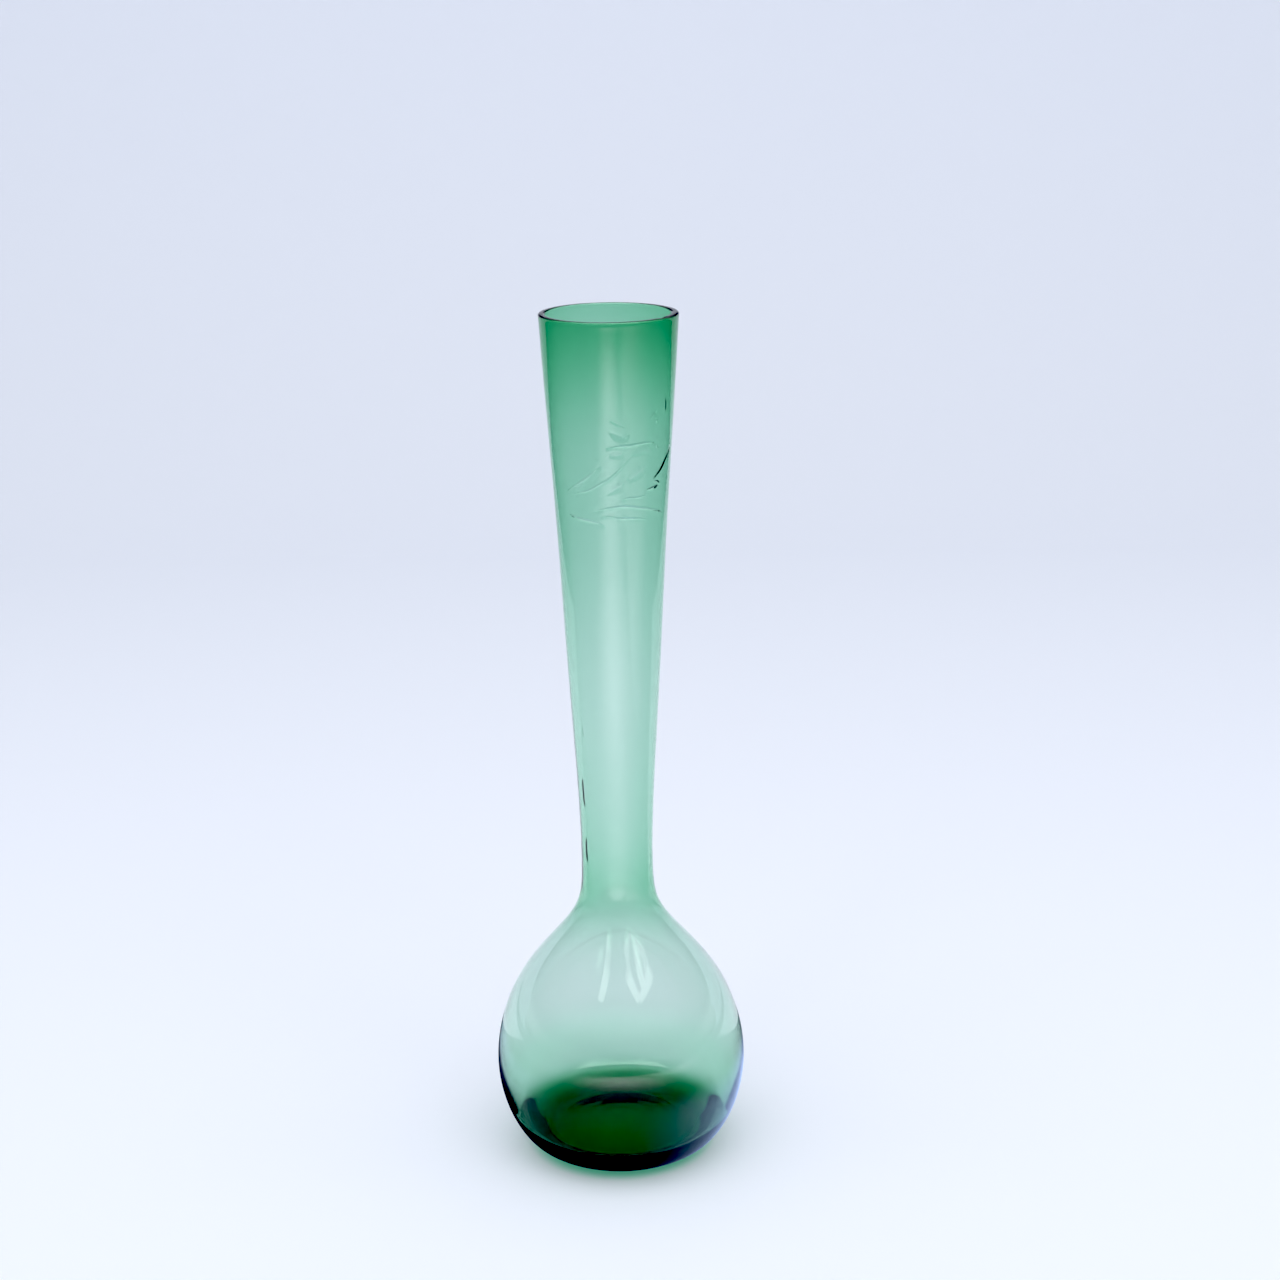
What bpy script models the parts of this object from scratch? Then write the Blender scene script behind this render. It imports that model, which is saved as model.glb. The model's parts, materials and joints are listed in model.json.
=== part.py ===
"""Glass bud vase: a round bulb on a thick base, drawn out into a long neck that widens to the rim.

The vase is one blown vessel. It is laid out here as six zones, each a closed solid of its own,
which meet face to face at level seams: base, bulb, shoulder, neck_lower, neck_upper and rim.
Metres, +Z up. The origin is the centre of the face that the vase rests on.
"""
import math

import bpy
import numpy as np

MM = 0.001

# Driving dimensions
HEIGHT = 260.0 * MM
FOOT_RADIUS = 23.5 * MM
BULB_RADIUS = 38.2 * MM
THROAT_RADIUS = 10.9 * MM
RIM_RADIUS = 20.2 * MM
FLOOR_HEIGHT = 8.0 * MM

# Heights of the seams between the zones
BULB_TOP = 40.0 * MM
THROAT_HEIGHT = 90.0 * MM
NECK_SEAM = 150.0 * MM
RIM_SEAM = 250.0 * MM

# The heel, from the resting face up to the level of the floor: radius, height
HEEL = (
    (FOOT_RADIUS, 0.0),
    (28.8 * MM, 3.0 * MM),
    (32.9 * MM, FLOOR_HEIGHT),
)
# The wall above it, up to the rim: outer radius, height, thickness measured level
WALL = (
    (36.4 * MM, 16.0 * MM, 1.0 * MM),
    (BULB_RADIUS, 26.0 * MM, 0.7 * MM),
    (36.8 * MM, BULB_TOP, 0.6 * MM),
    (32.3 * MM, 52.0 * MM, 0.6 * MM),
    (26.4 * MM, 61.0 * MM, 0.7 * MM),
    (20.5 * MM, 68.0 * MM, 0.8 * MM),
    (15.6 * MM, 74.0 * MM, 1.0 * MM),
    (12.3 * MM, 80.0 * MM, 1.1 * MM),
    (THROAT_RADIUS, THROAT_HEIGHT, 0.9 * MM),
    (11.2 * MM, 110.0 * MM, 0.7 * MM),
    (13.5 * MM, NECK_SEAM, 0.6 * MM),
    (16.3 * MM, 200.0 * MM, 0.8 * MM),
    (18.3 * MM, 230.0 * MM, 1.2 * MM),
    (19.6 * MM, RIM_SEAM, 2.1 * MM),
    (RIM_RADIUS, HEIGHT, 2.4 * MM),
)
# The round corner inside, between the floor and the wall: radius, height
CORNER = (
    (29.2 * MM, FLOOR_HEIGHT),
    (31.4 * MM, 8.8 * MM),
    (33.3 * MM, 11.0 * MM),
)
# The shallow dome under the foot, inside the ring that the vase rests on
KICK_RADIUS = 19.0 * MM
KICK_DEPTH = 1.5 * MM
# The lip is cut flat, and its two edges are rounded off
LIP_ROUNDING = 0.5 * MM

# How finely the outlines are drawn and turned
FINE_STEPS = 3
COARSE_STEPS = 2
KICK_STEPS = 3
LIP_STEPS = 2
SEGMENTS = 48
SHARP_ANGLE = math.radians(35.0)

# Each zone of wall: its name, the heights it runs between, and the steps in each span
ZONES = (
    ("bulb", FLOOR_HEIGHT, BULB_TOP, FINE_STEPS),
    ("shoulder", BULB_TOP, THROAT_HEIGHT, COARSE_STEPS),
    ("neck_lower", THROAT_HEIGHT, NECK_SEAM, FINE_STEPS),
    ("neck_upper", NECK_SEAM, RIM_SEAM, COARSE_STEPS),
)

# Green glass
GLASS_COLOR = (0.16, 0.52, 0.34, 0.35)
GLASS_ROUGHNESS = 0.03
GLASS_IOR = 1.52


def clear_scene():
    for item in list(bpy.data.objects):
        bpy.data.objects.remove(item, do_unlink=True)


def glass_material(name):
    material = bpy.data.materials.new(name)
    material.use_nodes = True
    shader = material.node_tree.nodes["Principled BSDF"]
    shader.inputs["Base Color"].default_value = GLASS_COLOR
    shader.inputs["Roughness"].default_value = GLASS_ROUGHNESS
    shader.inputs["Metallic"].default_value = 0.0
    shader.inputs["IOR"].default_value = GLASS_IOR
    shader.inputs["Transmission Weight"].default_value = 1.0
    return material


class SmoothOutline:
    """The natural cubic curve through (radius, height) points, by distance along their chords."""

    def __init__(self, points):
        self.points = np.array(points)
        self.gaps = np.linalg.norm(np.diff(self.points, axis=0), axis=1)
        self.slopes = self.solve_slopes()

    def solve_slopes(self):
        count = len(self.points)
        gaps = self.gaps
        rises = np.diff(self.points, axis=0) / gaps[:, None]
        system = np.zeros((count, count))
        target = np.zeros((count, 2))
        system[0, :2] = (2.0, 1.0)
        target[0] = 3.0 * rises[0]
        system[-1, -2:] = (1.0, 2.0)
        target[-1] = 3.0 * rises[-1]
        for i in range(1, count - 1):
            system[i, i - 1:i + 2] = (gaps[i], 2.0 * (gaps[i - 1] + gaps[i]), gaps[i - 1])
            target[i] = 3.0 * (gaps[i] * rises[i - 1] + gaps[i - 1] * rises[i])
        return np.linalg.solve(system, target)

    def between(self, low, high, steps):
        """Points on the curve from one station's height to another's, steps to each span."""
        path = []
        for i, gap in enumerate(self.gaps):
            start, end = self.points[i], self.points[i + 1]
            if start[1] < low or end[1] > high:
                continue
            for step in range(steps):
                t = step / steps
                place = start * (1.0 + 2.0 * t) * (1.0 - t) ** 2 + end * t * t * (3.0 - 2.0 * t)
                place = place + self.slopes[i] * gap * t * (1.0 - t) ** 2
                place = place + self.slopes[i + 1] * gap * t * t * (t - 1.0)
                path.append((float(place[0]), float(place[1])))
            last = (float(end[0]), float(end[1]))
        return path + [last]


OUTSIDE = SmoothOutline(HEEL + tuple((radius, height) for radius, height, _ in WALL))
INSIDE = SmoothOutline(CORNER + tuple((radius - wall, height) for radius, height, wall in WALL))


def base_outline():
    """The dome under the foot, the resting ring, the round heel, and the level top: the floor."""
    kick = []
    for i in range(KICK_STEPS):
        reach = i / KICK_STEPS
        kick.append((KICK_RADIUS * reach, KICK_DEPTH * (1.0 - reach * reach)))
    heel = OUTSIDE.between(0.0, FLOOR_HEIGHT, FINE_STEPS)
    return kick + [(KICK_RADIUS, 0.0)] + heel + [(0.0, FLOOR_HEIGHT)]


def wall_outline(low, high, steps):
    """Up the outside of the wall and down its inside."""
    return OUTSIDE.between(low, high, steps) + INSIDE.between(low, high, steps)[::-1]


def rim_outline():
    """The last of the neck, closed by the flat lip and its two rounded edges."""
    outside = OUTSIDE.between(RIM_SEAM, HEIGHT, COARSE_STEPS)[:-1]
    inside = INSIDE.between(RIM_SEAM, HEIGHT, COARSE_STEPS)[:-1]
    outer_edge = []
    inner_edge = []
    for i in range(LIP_STEPS + 1):
        angle = 0.5 * math.pi * i / LIP_STEPS
        inset = LIP_ROUNDING * (1.0 - math.cos(angle))
        height = HEIGHT - LIP_ROUNDING * (1.0 - math.sin(angle))
        outer_edge.append((RIM_RADIUS - inset, height))
        inner_edge.append((RIM_RADIUS - WALL[-1][2] + inset, height))
    return outside + outer_edge + inner_edge[::-1] + inside[::-1]


def turned_solid(name, outline):
    """Turn a closed outline of (radius, height) points, anticlockwise in (r, z), about Z."""
    vertices = []
    rings = []
    for radius, height in outline:
        if radius == 0.0:
            rings.append([len(vertices)] * SEGMENTS)
            vertices.append((0.0, 0.0, height))
            continue
        rings.append(list(range(len(vertices), len(vertices) + SEGMENTS)))
        for i in range(SEGMENTS):
            angle = 2.0 * math.pi * i / SEGMENTS
            vertices.append((radius * math.cos(angle), radius * math.sin(angle), height))
    faces = []
    for low, high in zip(rings, rings[1:] + rings[:1]):
        for i in range(SEGMENTS):
            j = (i + 1) % SEGMENTS
            corners = list(dict.fromkeys((low[i], low[j], high[j], high[i])))
            if len(corners) > 2:
                faces.append(corners)
    mesh = bpy.data.meshes.new(name)
    mesh.from_pydata(vertices, [], faces)
    mesh.shade_smooth()
    mesh.set_sharp_from_angle(angle=SHARP_ANGLE)
    mesh.materials.append(glass_material(name + "_glass"))
    solid = bpy.data.objects.new(name, mesh)
    bpy.context.scene.collection.objects.link(solid)
    return solid


def build():
    clear_scene()
    turned_solid("base", base_outline())
    for name, low, high, steps in ZONES:
        turned_solid(name, wall_outline(low, high, steps))
    turned_solid("rim", rim_outline())


build()
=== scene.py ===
"""Looks of the green glass bud vase: one blown vessel of clear green glass, on a pale sweep.

The outside of the vessel is the CAD's, in millimetres, except that the bulb sits a little to one
side of the neck. The wall is up to 0.35 mm thinner than the CAD's, and the floor is a shallow dish.
The marks of its making are added: a bore that is off centre at the rim, ripples and blisters inside
the wall, rings in the base, a chip in the lip, and the leaf blades cut into the front of the neck.
A turn is measured in degrees from the front, -Y, towards +X.
"""
import json
import math

import bpy
import numpy as np
from mathutils import Matrix, Vector
from mathutils.geometry import delaunay_2d_cdt

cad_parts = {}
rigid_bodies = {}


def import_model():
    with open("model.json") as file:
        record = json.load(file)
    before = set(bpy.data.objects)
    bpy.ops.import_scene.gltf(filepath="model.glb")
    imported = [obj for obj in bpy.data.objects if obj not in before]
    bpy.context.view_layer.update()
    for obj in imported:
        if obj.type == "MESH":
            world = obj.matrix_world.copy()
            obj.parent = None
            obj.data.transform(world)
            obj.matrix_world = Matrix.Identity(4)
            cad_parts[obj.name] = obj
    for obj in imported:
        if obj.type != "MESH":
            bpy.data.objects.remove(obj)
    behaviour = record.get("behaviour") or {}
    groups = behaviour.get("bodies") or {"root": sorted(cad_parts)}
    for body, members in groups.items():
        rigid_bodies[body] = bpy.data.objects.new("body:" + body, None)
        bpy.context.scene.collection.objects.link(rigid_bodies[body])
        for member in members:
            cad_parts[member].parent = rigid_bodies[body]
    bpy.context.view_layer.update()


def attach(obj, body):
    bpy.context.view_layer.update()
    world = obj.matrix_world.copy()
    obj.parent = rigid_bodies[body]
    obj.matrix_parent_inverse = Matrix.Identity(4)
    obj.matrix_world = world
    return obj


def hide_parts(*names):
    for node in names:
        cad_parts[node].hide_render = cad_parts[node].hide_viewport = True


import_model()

MM = 0.001

# ---------------------------------------------------------------- the section of the vessel
HEEL = ((23.5, 0.0), (28.8, 3.0), (32.9, 8.0))
WALL = (  # outer radius, height, thickness measured level
    (36.4, 16.0, 0.95),
    (38.2, 26.0, 0.48),
    (36.8, 40.0, 0.32),
    (32.3, 52.0, 0.32),
    (26.4, 61.0, 0.38),
    (20.5, 68.0, 0.52),
    (15.6, 74.0, 0.75),
    (12.3, 80.0, 0.95),
    (10.9, 90.0, 0.8),
    (11.2, 110.0, 0.6),
    (13.5, 150.0, 0.55),
    (16.3, 200.0, 0.8),
    (18.3, 230.0, 1.05),
    (19.6, 250.0, 1.75),
    (20.2, 260.0, 2.2),
)
FLOOR_HEIGHT = 8.0
FLOOR_DISH = 0.7
CORNER = ((29.2, FLOOR_HEIGHT), (31.4, 8.8), (33.3, 11.0))
KICK_RADIUS = 19.0
KICK_DEPTH = 1.5
LIP_ROUNDING = 0.5
RIM_RADIUS, RIM_HEIGHT, RIM_WALL = WALL[-1]

# ---------------------------------------------------------------- how finely it is drawn
COLUMNS = 160
COLUMN_DEGREES = 360.0 / COLUMNS
SPACING = 1.4  # between the rows of the wall
FINE_SPACING = 0.1  # between the points that the outside is looked up in
KICK_ROWS = 30
RING_ROWS = 4
EDGE_ROWS = 6
FLAT_ROWS = 4
FLOOR_ROWS = 24

# ---------------------------------------------------------------- marks of its making
BORE_SHIFT = 0.15
BORE_SHIFT_FROM = 235.0
BULB_SHIFT = 0.25
BULB_SHIFT_FADE = (60.0, 100.0)
WALL_WAVES = (  # lobes round the wall, size, turn of the first crest, twist over the height
    (2, 0.030, 40.0, 30.0),
    (3, 0.025, 110.0, -25.0),
    (5, 0.016, 15.0, 20.0),
    (8, 0.010, 65.0, -15.0),
    (13, 0.006, 30.0, 10.0),
)
WAVES_FADE = (12.0, 50.0)
BLISTERS = (  # turn, height, half width, half height, depth into the wall from inside
    (-57.0, 117.0, 0.7, 4.5, 0.30),
    (-57.0, 98.5, 0.7, 3.5, 0.30),
    (-24.0, 115.5, 1.0, 3.6, 0.10),
    (8.5, 114.5, 0.9, 2.6, 0.08),
    (34.0, 149.5, 1.3, 5.0, 0.08),
    (-48.0, 137.0, 0.5, 1.5, 0.25),
    (23.0, 177.0, 0.6, 1.5, 0.20),
    (59.0, 235.0, 0.5, 2.0, 0.30),
)
# Rings: size, pitch, wander round the axis, its phase, and the radii they fade in and out between
KICK_RINGS = (0.010, 4.3, 1.3, 0.8, (1.0, 4.0), (16.0, 19.0))
FLOOR_RINGS = (0.005, 5.5, 1.7, -0.5, (1.0, 6.0), (20.0, 29.0))
CHIP_TURN = 54.0
CHIP_RADIUS = 18.3
CHIP_SIZE = 1.3
CHIP_DEPTH = 0.55

# ---------------------------------------------------------------- the leaf blades cut in the neck
# Width, depth and (turn, height) points along each cut, whose steep flank is on its right. A flank is
# STEEP_SIDE or SHALLOW_SIDE times the width across, and every depth is multiplied by DEEPER.
CUTS = (
    (0.42, 0.27, ((-48, 210.6), (-37, 212.6), (-26, 214.7), (-17, 216.9), (-10, 219.0))),
    (0.42, 0.27, ((-42, 209.7), (-32, 210.7), (-21, 211.7), (-10.5, 213.5), (-1, 215.1),
                  (8.5, 217.8), (15, 220.0), (19, 221.4))),
    (0.90, 0.16, ((18, 221.6), (28, 222.5), (35, 222.6), (42, 221.4))),
    (0.46, 0.30, ((-5, 224.4), (1, 224.3), (8.5, 224.5), (18, 224.5), (28, 224.8),
                  (36, 224.9), (46, 224.5))),
    (0.90, 0.16, ((-2, 221.9), (6, 221.9), (12, 222.8))),
    (0.50, 0.14, ((-1, 232.3), (6, 231.2), (13, 230.1))),
    (1.60, 0.12, ((-1, 228.9), (8.5, 227.7), (17, 226.5))),
    (0.34, 0.24, ((74, 222.0), (62.5, 218.8), (55.5, 216.6), (48, 214.9), (42, 213.2))),
    (0.40, 0.28, ((52, 211.9), (43, 211.2), (36, 211.0))),
    (0.36, 0.26, ((54, 212.0), (51, 212.9), (45, 213.0))),
    (1.00, 0.18, ((-5, 210.3), (3.5, 212.0), (13, 214.0))),
    (1.40, 0.20, ((16, 214.2), (25, 215.9), (36, 218.1))),
    (0.38, 0.25, ((11, 209.1), (19, 209.2), (27, 209.1), (36, 209.5))),
    (0.46, 0.30, ((-20, 205.0), (-11.5, 205.9), (0.5, 206.5), (13.5, 206.7), (29, 205.9),
                  (41.5, 205.1), (52, 204.2), (61, 203.1))),
    (0.42, 0.26, ((-47, 203.9), (-39.5, 203.1), (-31, 202.7), (-22, 202.4), (-14, 201.9),
                  (-6, 201.1))),
    (0.38, 0.25, ((-11, 204.1), (-1.5, 204.0), (5, 203.4), (18.5, 203.1), (29.5, 202.8),
                  (38, 202.2))),
    (1.00, 0.10, ((-40, 211.2), (-33, 212.3), (-26, 213.5))),
    (0.40, 0.16, ((46, 234.0), (42, 232.8), (39, 231.6))),
    (0.40, 0.12, ((47.5, 230.2), (45.5, 231.5))),
    (0.40, 0.12, ((47, 225.2), (45.5, 226.7))),
    (0.40, 0.12, ((49, 222.6), (47, 223.9))),
)
DEEPER = 1.35
STEEP_SIDE = 1.25
SHALLOW_SIDE = 1.7
ROUNDED = 0.14  # the share of a flank that each of its two roundings takes
TAPER_POWER = 0.6
LEAST_FULLNESS = 0.02
PATCH_TURNS = (-60.0, 81.0)
PATCH_HEIGHTS = (196.0, 240.0)
UNROLL_RADIUS = 17.0
CUT_STEP = 0.45  # between the vertices along a cut
TRACE_STEP = 0.1  # between the points that distances to a cut are taken from
CUT_CLEARANCE = 0.7  # round each cut's line, kept free of the plain wall's vertices
PROBE = 0.02  # how far to each side a slope is measured
MERGE_WITHIN = 1e-5


def ease(value, low, high):
    """0 below low, 1 above high, and a smooth rise between them."""
    t = np.clip((np.asarray(value, dtype=float) - low) / (high - low), 0.0, 1.0)
    return t * t * (3.0 - 2.0 * t)


class SmoothOutline:
    """The natural cubic curve through (radius, height) points, by distance along their chords."""

    def __init__(self, points):
        self.points = np.array(points, dtype=float)
        self.gaps = np.linalg.norm(np.diff(self.points, axis=0), axis=1)
        self.slopes = self.solve_slopes()

    def solve_slopes(self):
        count = len(self.points)
        gaps = self.gaps
        rises = np.diff(self.points, axis=0) / gaps[:, None]
        system = np.zeros((count, count))
        target = np.zeros((count, 2))
        system[0, :2] = (2.0, 1.0)
        target[0] = 3.0 * rises[0]
        system[-1, -2:] = (1.0, 2.0)
        target[-1] = 3.0 * rises[-1]
        for i in range(1, count - 1):
            system[i, i - 1:i + 2] = (gaps[i], 2.0 * (gaps[i - 1] + gaps[i]), gaps[i - 1])
            target[i] = 3.0 * (gaps[i] * rises[i - 1] + gaps[i - 1] * rises[i])
        return np.linalg.solve(system, target)

    def path(self, spacing):
        """Points along the whole curve, about spacing apart."""
        made = []
        for i, gap in enumerate(self.gaps):
            steps = max(1, int(round(gap / spacing)))
            start, end = self.points[i], self.points[i + 1]
            for step in range(steps):
                t = step / steps
                place = start * (1.0 + 2.0 * t) * (1.0 - t) ** 2 + end * t * t * (3.0 - 2.0 * t)
                place = place + self.slopes[i] * gap * t * (1.0 - t) ** 2
                place = place + self.slopes[i + 1] * gap * t * t * (t - 1.0)
                made.append(place)
        made.append(self.points[-1])
        return np.array(made)


OUTSIDE = SmoothOutline(HEEL + tuple((radius, height) for radius, height, _ in WALL))
INSIDE = SmoothOutline(CORNER + tuple((radius - wall, height) for radius, height, wall in WALL))
FINE_OUTSIDE = OUTSIDE.path(FINE_SPACING)


def placed(radius, turn, height, aside=0.0):
    """Points in millimetres at a turn in radians; the bulb sits a little to one side of the neck."""
    aside = aside + BULB_SHIFT * (1.0 - ease(height, *BULB_SHIFT_FADE))
    across = radius * np.sin(turn) + aside
    return np.stack([across, -radius * np.cos(turn), height + 0.0 * turn], axis=-1)


# ---------------------------------------------------------------- the rows of the section
def rings(radius, turns, size, pitch, wander, phase, fade_in, fade_out):
    """Faint wandering rings in a face of the base."""
    swirl = 2.0 * math.pi * radius / pitch + wander * np.sin(turns + phase)
    return size * np.sin(swirl) * ease(radius, *fade_in) * (1.0 - ease(radius, *fade_out))


def kick_row(reach, turns):
    """A row of the dome under the foot."""
    radius = KICK_RADIUS * reach
    return placed(radius, turns, KICK_DEPTH * (1.0 - reach ** 2) + rings(radius, turns, *KICK_RINGS))


def floor_row(reach, turns):
    """A row of the dished floor of the hollow."""
    radius = CORNER[0][0] * reach
    dish = FLOOR_DISH * (1.0 - reach ** 2)
    return placed(radius, turns, FLOOR_HEIGHT - dish + rings(radius, turns, *FLOOR_RINGS))


def inside_row(radius, height, turns):
    """A row of the inner wall: off centre towards the rim, rippled, and pitted by blisters."""
    for lobes, size, crest, twist in WALL_WAVES:
        drift = math.radians(crest + twist * height / RIM_HEIGHT)
        radius = radius + size * np.cos(lobes * (turns - drift)) * ease(height, *WAVES_FADE)
    for turn, middle, half_width, half_height, depth in BLISTERS:
        around = radius * (np.mod(turns - math.radians(turn) + math.pi, 2.0 * math.pi) - math.pi)
        off = (around / half_width) ** 2 + ((height - middle) / half_height) ** 2
        radius = radius + depth * np.exp(-2.0 * off)
    aside = -BORE_SHIFT * float(ease(height, BORE_SHIFT_FROM, RIM_HEIGHT))
    return placed(radius, turns, height, aside)


def lip_row(radius, height, share, turns):
    """A row over the lip; share runs from 0 at the outside to 1 at the bore."""
    row = placed(radius, turns, height, -BORE_SHIFT * share)
    chip = placed(CHIP_RADIUS, np.array(math.radians(CHIP_TURN)), height)
    away = np.linalg.norm(row - chip, axis=1) / CHIP_SIZE
    row[:, 2] -= CHIP_DEPTH * np.exp(-2.0 * away ** 4)
    return row


def lip_rows(turns):
    """The outer edge of the lip, its flat top, and its inner edge."""
    quarter = np.linspace(0.0, 0.5 * math.pi, EDGE_ROWS + 1)
    insets = LIP_ROUNDING * (1.0 - np.cos(quarter))
    heights = RIM_HEIGHT - LIP_ROUNDING * (1.0 - np.sin(quarter))
    flat = np.linspace(LIP_ROUNDING, RIM_WALL - LIP_ROUNDING, FLAT_ROWS + 1)[1:-1]
    stations = list(zip(insets, heights))
    stations += [(inset, RIM_HEIGHT) for inset in flat]
    stations += [(RIM_WALL - inset, height) for inset, height in zip(insets[::-1], heights[::-1])]
    return [lip_row(RIM_RADIUS - inset, height, inset / RIM_WALL, turns) for inset, height in stations]


def section_rows(turns):
    """Every row of the vessel, the number of its first outside row, and the outside rows' heights."""
    ring_radii = np.linspace(KICK_RADIUS, HEEL[0][0], RING_ROWS + 1)[1:-1]
    outside_path = OUTSIDE.path(SPACING)[:-1]
    inside_path = INSIDE.path(SPACING)[1:-1]
    under = [kick_row(reach, turns) for reach in np.linspace(0.0, 1.0, KICK_ROWS + 1)[1:]]
    under += [placed(radius, turns, 0.0) for radius in ring_radii]
    outside = [placed(radius, turns, height) for radius, height in outside_path]
    inside = [inside_row(radius, height, turns) for radius, height in inside_path[::-1]]
    floor = [floor_row(reach, turns) for reach in np.linspace(1.0, 0.0, FLOOR_ROWS + 1)[:-1]]
    return under + outside + lip_rows(turns) + inside + floor, len(under), outside_path[:, 1]


# ---------------------------------------------------------------- the cut leaf blades
def flat_turn(degrees):
    """How far round the unrolled wall a turn is."""
    return math.radians(degrees) * UNROLL_RADIUS


def traced(points, step):
    """The smooth line through a cut's points on the unrolled wall, the share along it, its left."""
    knots = np.array([(flat_turn(turn), height) for turn, height in points])
    ends = np.vstack([2 * knots[0] - knots[1], knots, 2 * knots[-1] - knots[-2]])
    line = []
    for a, b, c, d in zip(ends, ends[1:], ends[2:], ends[3:]):
        count = max(2, int(np.linalg.norm(c - b) / step))
        for t in np.arange(count)[:, None] / count:
            bend = (2 * a - 5 * b + 4 * c - d) * t * t + (3 * b - a - 3 * c + d) * t ** 3
            line.append(b + 0.5 * ((c - a) * t + bend))
    line.append(knots[-1])
    line = np.array(line)
    along = np.concatenate([[0.0], np.cumsum(np.linalg.norm(np.diff(line, axis=0), axis=1))])
    ahead = np.gradient(line, axis=0)
    ahead /= np.linalg.norm(ahead, axis=1)[:, None]
    leftward = np.stack([-ahead[:, 1], ahead[:, 0]], axis=1)
    return line, along / along[-1], leftward


def taper(share):
    """How full a cut is along its length: it starts and ends in a point."""
    return np.clip(np.sin(math.pi * np.clip(share, 0.0, 1.0)), 0.0, 1.0) ** TAPER_POWER


TRACES = [traced(points, TRACE_STEP) for *_, points in CUTS]


def vee(inward):
    """A groove with straight flanks, rounded off at its edges and along its bottom."""
    t = np.clip(inward, 0.0, 1.0)
    start = np.minimum(t, ROUNDED) ** 2 / (2.0 * ROUNDED)
    flank = np.clip(t - ROUNDED, 0.0, 1.0 - 2.0 * ROUNDED)
    last = np.clip(t - (1.0 - ROUNDED), 0.0, ROUNDED)
    return (start + flank + last - last ** 2 / (2.0 * ROUNDED)) / (1.0 - ROUNDED)


def cut_depth(places):
    """Depth of the cutting at (unrolled turn, height) places."""
    depth = np.zeros(len(places))
    for (width, deepest, _), (line, share, leftward) in zip(CUTS, TRACES):
        reach = SHALLOW_SIDE * width
        low, high = line.min(axis=0) - reach, line.max(axis=0) + reach
        near = np.all((places > low) & (places < high), axis=1)
        if not near.any():
            continue
        gaps = places[near][:, None, :] - line[None, :, :]
        distances = np.linalg.norm(gaps, axis=2)
        nearest = distances.argmin(axis=1)
        chosen = np.arange(len(nearest))
        side = np.sum(gaps[chosen, nearest] * leftward[nearest], axis=1)
        fullness = np.maximum(taper(share[nearest]), LEAST_FULLNESS)
        flank = width * fullness * np.where(side > 0.0, SHALLOW_SIDE, STEEP_SIDE)
        groove = DEEPER * deepest * fullness * vee(1.0 - distances[chosen, nearest] / flank)
        depth[near] = np.maximum(depth[near], groove)
    return depth


def cut_rails():
    """Lines of points along each cut: its edges, its bottom, and where its flanks start and end."""
    points = []
    edges = []
    for width, _, knots in CUTS:
        line, share, leftward = traced(knots, CUT_STEP)
        fullness = taper(share)[:, None]
        for side in (-1.0, ROUNDED - 1.0, -ROUNDED, 0.0, ROUNDED, 1.0 - ROUNDED, 1.0):
            reach = width * fullness * (SHALLOW_SIDE if side > 0.0 else STEEP_SIDE)
            rail = line + side * reach * leftward
            if side != 0.0:
                rail = rail[1:-1]
            start = len(points)
            points.extend(map(tuple, rail))
            edges.extend((start + i, start + i + 1) for i in range(len(rail) - 1))
    return points, edges


def patch_mesh(border, inner):
    """Triangles over the cut part of the wall: its places, their links to the border, the faces."""
    rails, rail_edges = cut_rails()
    lines = np.vstack([line for line, _, _ in TRACES])
    kept = [place for place in inner if np.linalg.norm(lines - place, axis=1).min() > CUT_CLEARANCE]
    start = len(border) + len(kept)
    places = [Vector(place) for place in list(border) + kept + rails]
    edges = [(start + a, start + b) for a, b in rail_edges]
    outline = [list(range(len(border)))]
    made, _, faces, sources, _, _ = delaunay_2d_cdt(places, edges, outline, 1, MERGE_WITHIN)
    links = [min((i for i in source if i < len(border)), default=-1) for source in sources]
    return np.array([tuple(place) for place in made]), links, faces


def cut_slope(places, step):
    """How fast the cutting deepens along a step."""
    return (cut_depth(places + step) - cut_depth(places - step)) / (2.0 * PROBE)


def cut_surface(places):
    """Where the cut wall lies over unrolled places, and its normals there."""
    turns, heights = places[:, 0] / UNROLL_RADIUS, places[:, 1]
    radius = np.interp(heights, FINE_OUTSIDE[:, 1], FINE_OUTSIDE[:, 0])
    flare = np.interp(heights + 1.0, FINE_OUTSIDE[:, 1], FINE_OUTSIDE[:, 0]) - radius
    across = cut_slope(places, (PROBE, 0.0))
    upward = cut_slope(places, (0.0, PROBE))
    out = np.stack([np.sin(turns), -np.cos(turns), 0.0 * turns], axis=1)
    side = np.stack([np.cos(turns), np.sin(turns), 0.0 * turns], axis=1)
    up = np.array([0.0, 0.0, 1.0])
    normals = out + across[:, None] * side + (upward - flare)[:, None] * up
    normals /= np.linalg.norm(normals, axis=1)[:, None]
    return placed(radius - cut_depth(places), turns, heights), normals


# ---------------------------------------------------------------- the vessel's mesh
def signed(column):
    """A column's number counted from the front, negative on its -X side."""
    return column if column < COLUMNS // 2 else column - COLUMNS


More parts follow.
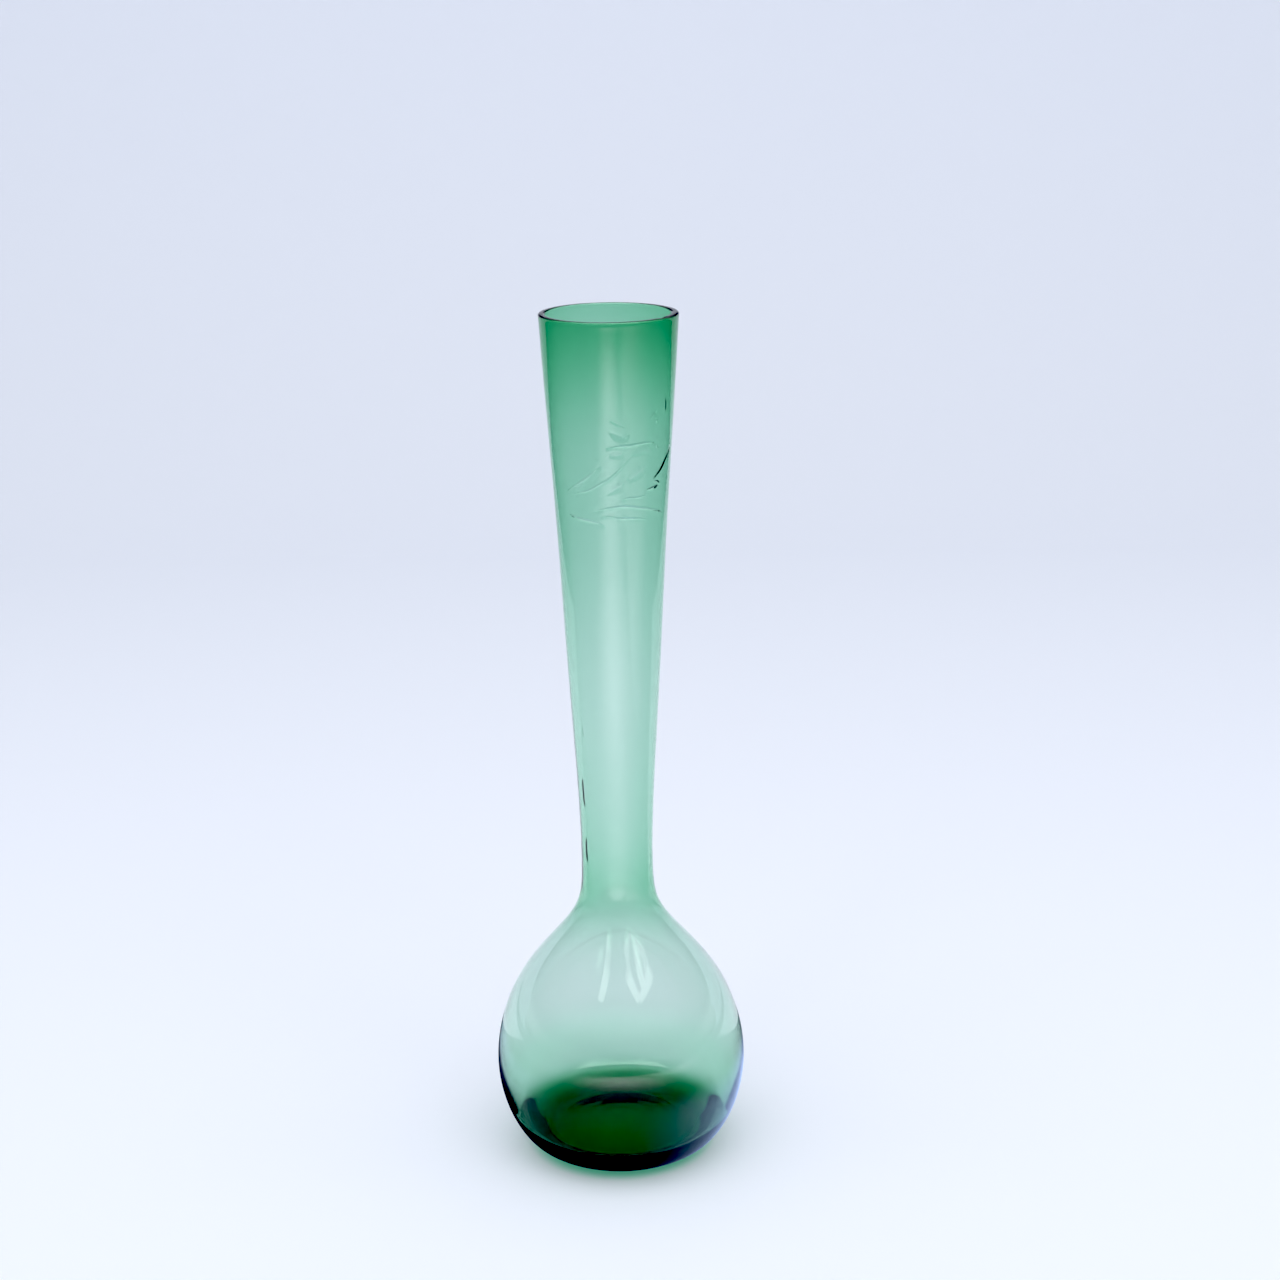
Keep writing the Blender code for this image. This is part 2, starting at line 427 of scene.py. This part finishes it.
class Vessel:
    """The vessel as rows and columns of vertices, with a window in them for the cut part of the wall."""

    def __init__(self):
        turns = 2.0 * math.pi * np.arange(COLUMNS) / COLUMNS
        self.rows, self.first, self.heights = section_rows(turns)
        self.low, self.high = (self.first_row_above(height) for height in PATCH_HEIGHTS)
        self.left, self.right = (int(turn / COLUMN_DEGREES) for turn in PATCH_TURNS)
        self.vertices = []
        self.faces = []
        self.ids = np.full((len(self.rows), COLUMNS), -1)
        self.normals = {}

    def first_row_above(self, height):
        return self.first + int(np.argmax(self.heights >= height))

    def unrolled(self, row, column):
        return flat_turn(column * COLUMN_DEGREES), self.heights[row - self.first]

    def add_rows(self):
        """Every vertex outside the window. Gives back the unrolled places of those inside it."""
        inner = []
        for j, row in enumerate(self.rows):
            for i in range(COLUMNS):
                column = signed(i)
                if self.low < j < self.high and self.left < column < self.right:
                    inner.append(self.unrolled(j, column))
                    continue
                self.ids[j, i] = len(self.vertices)
                self.vertices.append(row[i])
        return inner

    def add_bands(self):
        """The faces between the rows, except in the window."""
        ids = self.ids
        for j in range(len(self.rows) - 1):
            for i in range(COLUMNS):
                if self.low <= j < self.high and self.left <= signed(i) < self.right:
                    continue
                k = (i + 1) % COLUMNS
                self.faces.append((ids[j, i], ids[j, k], ids[j + 1, k], ids[j + 1, i]))

    def add_centre(self, row, height, flipped):
        """The fan of faces from a last row to the axis."""
        centre = len(self.vertices)
        self.vertices.append(placed(0.0, np.array(0.0), height))
        for i in range(COLUMNS):
            pair = (self.ids[row, i], self.ids[row, (i + 1) % COLUMNS])
            self.faces.append((pair[::-1] if flipped else pair) + (centre,))

    def window_border(self):
        """The (row, column) places round the window, anticlockwise."""
        low, high, left, right = self.low, self.high, self.left, self.right
        border = [(low, i) for i in range(left, right)] + [(j, right) for j in range(low, high)]
        border += [(high, i) for i in range(right, left, -1)]
        return border + [(j, left) for j in range(high, low, -1)]

    def add_patch(self, inner):
        """Fill the window with the cut wall, and keep that wall's normals."""
        border = self.window_border()
        places, links, faces = patch_mesh([self.unrolled(j, i) for j, i in border], inner)
        spots, normals = cut_surface(places)
        patch_ids = []
        for spot, link, normal in zip(spots, links, normals):
            if link >= 0:
                row, column = border[link]
                index = self.ids[row, column % COLUMNS]
            else:
                index = len(self.vertices)
                self.vertices.append(spot)
            patch_ids.append(index)
            self.normals[index] = normal
        self.faces.extend(tuple(patch_ids[i] for i in face) for face in faces)

    def mesh(self, name):
        inner = self.add_rows()
        self.add_bands()
        self.add_centre(0, KICK_DEPTH, True)
        self.add_centre(len(self.rows) - 1, FLOOR_HEIGHT - FLOOR_DISH, False)
        self.add_patch(inner)
        mesh = bpy.data.meshes.new(name)
        faces = [tuple(int(i) for i in face) for face in self.faces]
        mesh.from_pydata((np.array(self.vertices) * MM).tolist(), [], faces)
        mesh.shade_smooth()
        normals = np.zeros((len(self.vertices), 3))  # a zero normal stands for the smooth one
        for index, normal in self.normals.items():
            normals[index] = normal
        mesh.normals_split_custom_set_from_vertices(normals.tolist())
        return mesh


# ---------------------------------------------------------------- green glass
GLASS_IOR = 1.5
GLASS_ABSORBS = (530.0, 170.0, 350.0)


def glass_material(name):
    """Clear glass, coloured by what it absorbs for each metre of it."""
    material = bpy.data.materials.new(name)
    material.use_nodes = True
    nodes, links = material.node_tree.nodes, material.node_tree.links
    shader = nodes["Principled BSDF"]
    shader.inputs["Base Color"].default_value = (1.0, 1.0, 1.0, 1.0)
    shader.inputs["Roughness"].default_value = 0.0
    shader.inputs["IOR"].default_value = GLASS_IOR
    shader.inputs["Transmission Weight"].default_value = 1.0
    strongest = max(GLASS_ABSORBS)
    volume = nodes.new("ShaderNodeVolumeAbsorption")
    volume.inputs["Color"].default_value = [1.0 - part / strongest for part in GLASS_ABSORBS] + [1.0]
    volume.inputs["Density"].default_value = strongest
    links.new(volume.outputs["Volume"], nodes["Material Output"].inputs["Volume"])
    return material


def make_vase():
    vase = bpy.data.objects.new("vase", Vessel().mesh("vase"))
    bpy.context.scene.collection.objects.link(vase)
    vase.data.materials.append(glass_material("green_glass"))
    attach(vase, "root")
    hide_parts("base", "bulb", "shoulder", "neck_lower", "neck_upper", "rim")


# ---------------------------------------------------------------- the stage, in metres
TABLE_LEVEL = -0.0002
STAGE_HALF = 3.0
TABLE = (  # left, right, front, back, and whether the glass mirrors it
    (-STAGE_HALF, STAGE_HALF, -STAGE_HALF, 0.1, False),
    (-STAGE_HALF, -0.5, 0.1, 0.75, False),
    (-0.5, 0.5, 0.1, 0.75, True),
    (0.5, STAGE_HALF, 0.1, 0.75, False),
)
CURVE_START = 0.75
CURVE_RADIUS = 0.45
CURVE_STEPS = 24
BACKDROP_TOP = 0.39
PAPER = (0.86, 0.895, 0.97, 1.0)
PAPER_ROUGHNESS = 0.9
# A painted shadow: the paper's colour is multiplied by this green in a ring round the foot, in place of
# the contact shadow and the light through the glass.
PAINTED_FOOT_SHADOW = (0.38, 0.88, 0.68, 1.0)
PAINTED_FOOT_SHADOW_REACH = (0.0205, 0.0235, 0.0243, 0.0300)  # radii it starts, is full, fades and ends at

# The dome, and how it looks in the glass: each ramp is two heights of a unit direction
DOME = (0.57, 0.585, 0.63, 1.0)
DARK_ROOM = (0.012, 0.018, 0.05, 1.0)
THROUGH_DARKENS = (0.09, 0.22)
HORIZON_STARTS = (0.02, 0.08)
HORIZON_ENDS = (0.11, 0.20)
BEHIND_STARTS = (-0.3, 0.1)
CEILING_STARTS = (0.2, 0.5)
CEILING_SHARE = 0.85

KEY = ((0.0, -0.3, 1.6), 1.7, 0.9, 1.15)  # place, width, depth and radiance
TUBES = (  # the (x, y) of each tube's ends
    ((-0.72, -1.35), (-0.43, -0.82)),
    ((0.70, -1.37), (0.25, -0.93)),
    ((0.70, -1.37), (1.08, -0.62)),
    ((0.83, -0.99), (0.62, -0.74)),
)
TUBE_HEIGHT = 1.55
TUBE_WIDTH = 0.22
TUBE_RADIANCE = 1.5
GLOWS = (  # centre, half width, half depth, colour and radiance of sheets that only the glass mirrors
    ((-0.03, -0.57, 0.001), 0.30, 0.45, (1.0, 0.92, 1.02, 1.0), 2.4),
    ((0.20, -0.52, 0.001), 0.75, 0.43, (1.0, 0.92, 1.02, 1.0), 1.9),
    ((0.058, 0.0, 0.001), 0.055, 0.08, (0.5, 0.65, 1.0, 1.0), 2.0),
    ((-0.11, 0.03, 0.001), 0.065, 0.10, (0.62, 0.68, 1.0, 1.0), 1.2),
    ((-0.33, 0.05, 0.001), 0.25, 0.40, (0.88, 0.90, 1.0, 1.0), 0.2),
)
GLOW_FADE_ACROSS = (0.0, 1.0)
GLOW_FADE_ALONG = (0.4, 1.0)


class NodeSums:
    """Short hands for the arithmetic nodes of one node tree."""

    def __init__(self, tree):
        self.tree = tree

    def feed(self, socket, value):
        if isinstance(value, bpy.types.NodeSocket):
            self.tree.links.new(value, socket)
        else:
            socket.default_value = value

    def sum(self, operation, *values):
        node = self.tree.nodes.new("ShaderNodeMath")
        node.operation = operation
        for socket, value in zip(node.inputs, values):
            self.feed(socket, value)
        return node.outputs["Value"]

    def ramp(self, value, low, high):
        node = self.tree.nodes.new("ShaderNodeMapRange")
        node.interpolation_type = "SMOOTHSTEP"
        self.feed(node.inputs["Value"], value)
        node.inputs["From Min"].default_value = low
        node.inputs["From Max"].default_value = high
        return node.outputs["Result"]


def paper_material(name):
    """Matt paper, with a painted green shadow in a ring close round the foot, standing in for the
    contact shadow and the green light that comes through the glass.
    """
    material = bpy.data.materials.new(name)
    material.use_nodes = True
    nodes, links = material.node_tree.nodes, material.node_tree.links
    shader = nodes["Principled BSDF"]
    shader.inputs["Roughness"].default_value = PAPER_ROUGHNESS
    shader.inputs["Specular IOR Level"].default_value = 0.0
    sums = NodeSums(material.node_tree)
    where = nodes.new("ShaderNodeNewGeometry")
    from_axis = nodes.new("ShaderNodeVectorMath")
    from_axis.operation = "LENGTH"
    links.new(where.outputs["Position"], from_axis.inputs[0])
    reach = from_axis.outputs["Value"]
    # Paint a green shadow into the paper's colour, in a ring round the foot.
    starts, full, fades, ends = PAINTED_FOOT_SHADOW_REACH
    inner_edge = sums.ramp(reach, starts, full)
    outer_edge = sums.sum("SUBTRACT", 1.0, sums.ramp(reach, fades, ends))
    mix = nodes.new("ShaderNodeMix")
    mix.data_type = "RGBA"
    mix.blend_type = "MULTIPLY"
    mix.inputs["A"].default_value = PAPER
    mix.inputs["B"].default_value = PAINTED_FOOT_SHADOW
    links.new(sums.sum("MULTIPLY", outer_edge, inner_edge), mix.inputs["Factor"])
    links.new(mix.outputs["Result"], shader.inputs["Base Color"])
    return material


def stage_strip(name, line, left, right, material):
    """A strip whose (y, z) line is drawn out along X."""
    vertices = []
    for y, z in line:
        vertices += [(left, y, z), (right, y, z)]
    faces = [(2 * i, 2 * i + 1, 2 * i + 3, 2 * i + 2) for i in range(len(line) - 1)]
    mesh = bpy.data.meshes.new(name)
    mesh.from_pydata(vertices, [], faces)
    mesh.shade_smooth()
    mesh.materials.append(material)
    strip = bpy.data.objects.new(name, mesh)
    bpy.context.scene.collection.objects.link(strip)
    return strip


def backdrop_line():
    """The (y, z) line of the backdrop: a quarter turn up from the table, then straight up."""
    line = []
    for angle in np.linspace(0.0, 0.5 * math.pi, CURVE_STEPS + 1):
        along = CURVE_START + CURVE_RADIUS * math.sin(angle)
        line.append((along, TABLE_LEVEL + CURVE_RADIUS * (1.0 - math.cos(angle))))
    line.append((line[-1][0], BACKDROP_TOP))
    return line


def make_stage():
    """A table and a backdrop of pale paper. Of the table, the glass mirrors only what is behind it."""
    paper = paper_material("paper")
    strips = []
    for i, (left, right, front, back, mirrored) in enumerate(TABLE):
        line = [(front, TABLE_LEVEL), (back, TABLE_LEVEL)]
        strip = stage_strip(f"table_{i}", line, left, right, paper)
        strip.visible_glossy = mirrored
        strips.append(strip)
    strips.append(stage_strip("backdrop", backdrop_line(), -STAGE_HALF, STAGE_HALF, paper))
    return strips


def panel_lamp(name, place, width, depth, radiance, turn=0.0):
    """A flat lamp that faces down. Its radiance is its energy over 4 times its area."""
    data = bpy.data.lights.new(name, "AREA")
    data.shape = "RECTANGLE"
    data.size = width
    data.size_y = depth
    data.energy = radiance * 4.0 * width * depth
    lamp = bpy.data.objects.new(name, data)
    lamp.location = place
    lamp.rotation_euler = (0.0, 0.0, turn)
    bpy.context.scene.collection.objects.link(lamp)
    return lamp


def make_lamps(strips):
    """Two soft key lamps overhead, one of which the glass does not shade, and four bright tubes."""
    panel_lamp("key", *KEY)
    fill = panel_lamp("key_fill", *KEY)
    blockers = bpy.data.collections.new("fill_blockers")
    for strip in strips:
        blockers.objects.link(strip)
    fill.light_linking.blocker_collection = blockers
    for i, (start, end) in enumerate(TUBES):
        middle = ((start[0] + end[0]) / 2.0, (start[1] + end[1]) / 2.0, TUBE_HEIGHT)
        turn = math.atan2(end[1] - start[1], end[0] - start[0])
        panel_lamp(f"tube_{i}", middle, math.dist(start, end), TUBE_WIDTH, TUBE_RADIANCE, turn)


def glow_sheet(name, centre, half_width, half_depth, color, radiance):
    """A level sheet of light that fades out to its edges, seen only mirrored in the glass."""
    material = bpy.data.materials.new(name)
    material.use_nodes = True
    nodes, links = material.node_tree.nodes, material.node_tree.links
    nodes.remove(nodes["Principled BSDF"])
    sums = NodeSums(material.node_tree)
    where = nodes.new("ShaderNodeTexCoord")
    parts = nodes.new("ShaderNodeSeparateXYZ")
    links.new(where.outputs["Object"], parts.inputs["Vector"])
    across = sums.ramp(sums.sum("ABSOLUTE", parts.outputs["X"]), *GLOW_FADE_ACROSS)
    along = sums.ramp(sums.sum("ABSOLUTE", parts.outputs["Y"]), *GLOW_FADE_ALONG)
    fade = sums.sum("MULTIPLY", sums.sum("SUBTRACT", 1.0, across), sums.sum("SUBTRACT", 1.0, along))
    light = nodes.new("ShaderNodeEmission")
    light.inputs["Color"].default_value = color
    links.new(sums.sum("MULTIPLY", fade, radiance), light.inputs["Strength"])
    clear = nodes.new("ShaderNodeBsdfTransparent")
    both = nodes.new("ShaderNodeAddShader")
    links.new(light.outputs["Emission"], both.inputs[0])
    links.new(clear.outputs["BSDF"], both.inputs[1])
    links.new(both.outputs["Shader"], nodes["Material Output"].inputs["Surface"])
    sheet = stage_strip(name, [(-1.0, 0.0), (1.0, 0.0)], -1.0, 1.0, material)
    sheet.location = centre
    sheet.scale = (half_width, half_depth, 1.0)
    sheet.visible_camera = False
    sheet.visible_diffuse = False
    sheet.visible_transmission = False
    sheet.visible_shadow = False


def make_world():
    """A pale dome for light, which looks different in the glass.

    Seen through the glass it darkens above the horizon. Mirrored in the glass it is dark, except for
    a low band behind the vase and a dimmer ceiling.
    """
    world = bpy.data.worlds.new("studio")
    bpy.context.scene.world = world
    world.use_nodes = True
    nodes, links = world.node_tree.nodes, world.node_tree.links
    sums = NodeSums(world.node_tree)
    where = nodes.new("ShaderNodeTexCoord")
    parts = nodes.new("ShaderNodeSeparateXYZ")
    links.new(where.outputs["Generated"], parts.inputs["Vector"])
    up, back = parts.outputs["Z"], parts.outputs["Y"]
    ray = nodes.new("ShaderNodeLightPath").outputs
    band = sums.sum("SUBTRACT", sums.ramp(up, *HORIZON_STARTS), sums.ramp(up, *HORIZON_ENDS))
    band_behind = sums.sum("MULTIPLY", band, sums.ramp(back, *BEHIND_STARTS))
    ceiling = sums.sum("MULTIPLY", sums.ramp(up, *CEILING_STARTS), CEILING_SHARE)
    dark_mirrored = sums.sum("SUBTRACT", 1.0, sums.sum("MAXIMUM", band_behind, ceiling))
    dark_through = sums.ramp(up, *THROUGH_DARKENS)
    through = ray["Is Transmission Ray"]
    mirrored = sums.sum("SUBTRACT", 1.0, through)
    dark = sums.sum("MULTIPLY_ADD", through, dark_through, sums.sum("MULTIPLY", mirrored, dark_mirrored))
    unscattered = sums.sum("LESS_THAN", ray["Diffuse Depth"], 0.5)
    in_glass = sums.sum("MULTIPLY", unscattered, ray["Is Glossy Ray"])
    mix = nodes.new("ShaderNodeMix")
    mix.data_type = "RGBA"
    mix.inputs["A"].default_value = DOME
    mix.inputs["B"].default_value = DARK_ROOM
    links.new(sums.sum("MULTIPLY", dark, in_glass), mix.inputs["Factor"])
    links.new(mix.outputs["Result"], nodes["Background"].inputs["Color"])


# ---------------------------------------------------------------- the camera and the picture
CAMERA_LENS = 67.5
CAMERA_SENSOR = 36.0
CAMERA_CLIP = 0.01
CAMERA_PLACE = (0.0, -0.683, 0.3632)
CAMERA_SWING = -0.655
CAMERA_DOWN = 16.378
CAMERA_ROLL = -0.74
BLACK_LEVEL = (0.045, 0.045, 0.04)


def make_camera():
    camera = bpy.data.objects.new("camera", bpy.data.cameras.new("camera"))
    bpy.context.scene.collection.objects.link(camera)
    camera.data.lens = CAMERA_LENS
    camera.data.sensor_width = CAMERA_SENSOR
    camera.data.clip_start = CAMERA_CLIP
    camera.location = CAMERA_PLACE
    swing = Matrix.Rotation(math.radians(CAMERA_SWING), 4, "Z")
    tilt = Matrix.Rotation(math.radians(90.0 - CAMERA_DOWN), 4, "X")
    roll = Matrix.Rotation(math.radians(CAMERA_ROLL), 4, "Z")
    camera.rotation_euler = (swing @ tilt @ roll).to_euler()
    bpy.context.scene.camera = camera


def set_grading():
    """Plain colours, with the deepest shade taken down to black."""
    view = bpy.context.scene.view_settings
    view.view_transform = "Standard"
    view.use_curve_mapping = True
    view.curve_mapping.black_level = BLACK_LEVEL
    view.curve_mapping.update()


make_vase()
make_lamps(make_stage())
for number, glow in enumerate(GLOWS):
    glow_sheet(f"glow_{number}", *glow)
make_world()
make_camera()
set_grading()
